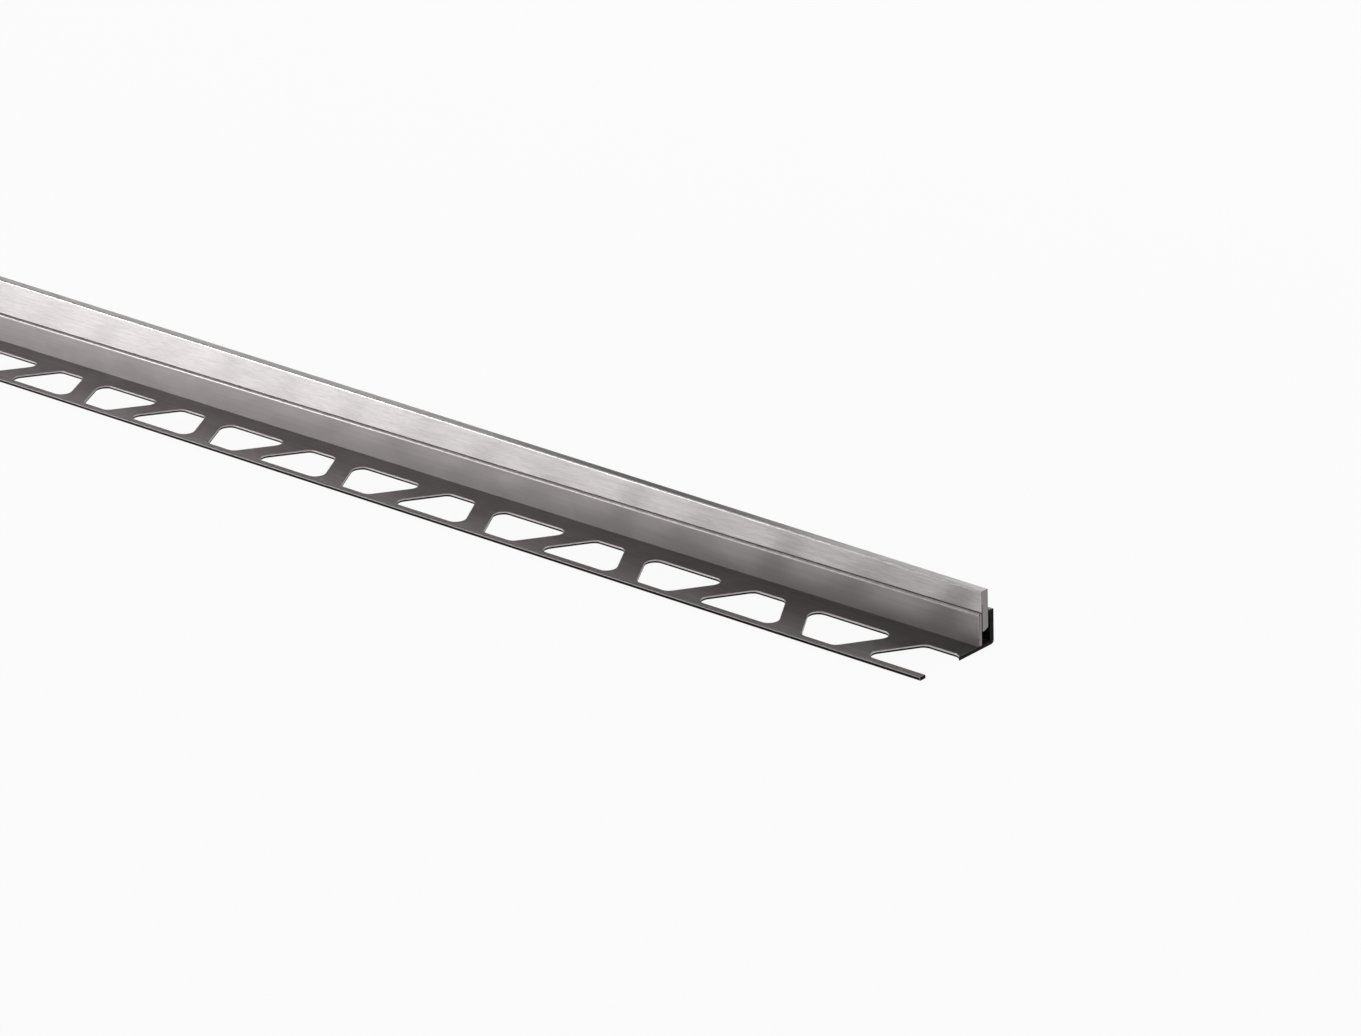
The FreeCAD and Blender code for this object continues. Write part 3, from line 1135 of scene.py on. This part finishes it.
@dataclass(frozen=True)
class Softbox:
    """A large rectangular lamp.

    Attributes:
        name: The lamp's name.
        place: Its middle, in metres.
        aim: The point that it faces.
        size: Width and height, in metres.
        brightness: How bright its face is. 1 is as bright as white paper.
    """

    name: str
    place: Place
    aim: Place
    size: tuple[float, float]
    brightness: float

    def build(self) -> None:
        """Set the lamp up, unseen by the camera itself.

        Its power in watts is its brightness times pi times its area.
        """
        data = bpy.data.lights.new(self.name, "AREA")
        data.shape = "RECTANGLE"
        data.size, data.size_y = self.size
        data.energy = self.brightness * math.pi * data.size * data.size_y
        lamp = add_object(self.name, data)
        lamp.location = self.place
        way = Vector(self.aim) - Vector(self.place)
        lamp.rotation_euler = way.to_track_quat("-Z", "Y").to_euler()
        lamp.visible_camera = False


# The low front lamps stand where the upright faces mirror them, so that a face is brighter the
# further it is from the low end.
LAMPS = (
    Softbox("overhead", (0.0, 0.3, 1.8), (0.0, 0.3, 0.0), (2.6, 1.6), 0.25),
    Softbox("rear_right", (0.85, 0.9, 0.55), (0.85, 0.0, 0.2), (1.6, 0.9), 1.2),
    Softbox("rear_middle", (-0.15, 0.9, 0.55), (-0.15, 0.0, 0.2), (0.4, 0.9), 1.5),
    Softbox("rear_left", (-1.2, 0.9, 0.55), (-1.2, 0.0, 0.2), (1.2, 0.9), 0.98),
    Softbox("front_high", (-0.2, -0.55, 1.0), (-0.2, 0.0, 0.0), (1.6, 0.3), 1.0),
    Softbox("high_right", (-0.2, -0.05, 1.0), (0.1, 0.0, 0.0), (0.7, 0.7), 0.3),
    Softbox("front_low_left", (-1.6, -1.0, 0.15), (-1.6, 0.0, 0.1), (0.7, 0.3), 6.0),
    Softbox("front_low", (-0.95, -1.0, 0.15), (-0.95, 0.0, 0.1), (0.6, 0.3), 13.5),
    Softbox("front_low_right", (-0.49, -1.0, 0.15), (-0.49, 0.0, 0.1), (0.32, 0.3), 7.0),
)


@dataclass(frozen=True)
class Studio:
    """The camera, the pale floor, the soft lamps and the grey of the room.

    Attributes:
        camera_place: Where the camera stands.
        heading: How far the camera is turned about Z.
        tilt: How far it is tilted up from looking straight down.
        roll: How far it is rolled about its line of sight.
        lens: Its focal length, in millimetres.
        sensor: The width of its sensor, in millimetres.
        sight: The nearest and the furthest that it sees.
        floor_size: Side of the square floor.
        floor_drop: How far the floor lies below the profile.
        floor_colour: The floor's paint.
        floor_whiteness: How far to white the camera and the metal see the floor.
        room_grey: How bright the even light of the room is.
        lamps: The soft lamps.
    """

    camera_place: Place = (1.0466, -0.6745, 0.3879)
    heading: float = math.radians(43.521)
    tilt: float = math.radians(68.223)
    roll: float = math.radians(-2.430)
    lens: float = 99.66
    sensor: float = 36.0
    sight: tuple[float, float] = (0.01, 200.0)
    floor_size: float = 60.0
    floor_drop: float = 0.02 * MM
    floor_colour: Colour = (0.92, 0.92, 0.92)
    floor_whiteness: float = 0.94
    room_grey: float = 0.03
    lamps: tuple[Softbox, ...] = LAMPS

    def build_camera(self) -> None:
        """Put the camera where the photograph was taken from."""
        data = bpy.data.cameras.new("camera")
        data.lens = self.lens
        data.sensor_width = self.sensor
        data.clip_start, data.clip_end = self.sight
        camera = add_object("camera", data)
        turn = (Matrix.Rotation(self.heading, 4, "Z") @ Matrix.Rotation(self.tilt, 4, "X")
                @ Matrix.Rotation(self.roll, 4, "Z"))
        camera.matrix_world = Matrix.Translation(self.camera_place) @ turn
        bpy.context.scene.camera = camera

    def build_floor(self) -> None:
        """Lay the pale floor, which keeps a faint shadow because it isn't quite white."""
        mesh = bpy.data.meshes.new("floor")
        half = self.floor_size / 2
        low = -self.floor_drop
        mesh.from_pydata([(-half, -half, low), (half, -half, low), (half, half, low),
                          (-half, half, low)], [], [(0, 1, 2, 3)])
        material, wiring = new_material("pale_floor")
        ray = wiring.node("ShaderNodeLightPath").outputs
        seen = wiring.math("MAXIMUM", wiring.math("MAXIMUM", ray["Is Camera Ray"],
                                                  ray["Is Glossy Ray"]),
                           ray["Is Transmission Ray"])
        paint = wiring.node("ShaderNodeBsdfDiffuse", {"Color": (*self.floor_colour, 1)})
        white = wiring.node("ShaderNodeEmission", {"Strength": 1.0})
        both = wiring.node("ShaderNodeMixShader",
                           {0: wiring.math("MULTIPLY", seen, self.floor_whiteness),
                            1: paint.outputs[0], 2: white.outputs[0]})
        wiring.node("ShaderNodeOutputMaterial", {"Surface": both.outputs[0]})
        mesh.materials.append(material)
        add_object("floor", mesh)

    def build_room(self) -> None:
        """Fill the room with an even grey light."""
        world = bpy.data.worlds.new("room")
        world.use_nodes = True
        world.node_tree.nodes.clear()
        wiring = Wiring(world.node_tree)
        light = wiring.node("ShaderNodeBackground",
                            {"Color": (self.room_grey,) * 3 + (1,), "Strength": 1.0})
        wiring.node("ShaderNodeOutputWorld", {"Surface": light.outputs[0]})
        bpy.context.scene.world = world

    def build(self) -> None:
        """Set everything up and keep colours as they are written."""
        self.build_camera()
        self.build_floor()
        for lamp in self.lamps:
            lamp.build()
        self.build_room()
        bpy.context.scene.view_settings.view_transform = "Standard"


def main() -> None:
    """Build and dress both pieces, then the studio."""
    logging.basicConfig(level=logging.INFO, format="%(name)s: %(message)s")
    effects = Effects.make()
    for part in (SupportProfile(), WedgeInsert()):
        piece = part.build()
        part.dress(piece, effects)
        LOG.info("%s stands for %s", piece.name, part.node)
    Studio().build()


if __name__ == "__main__":
    main()
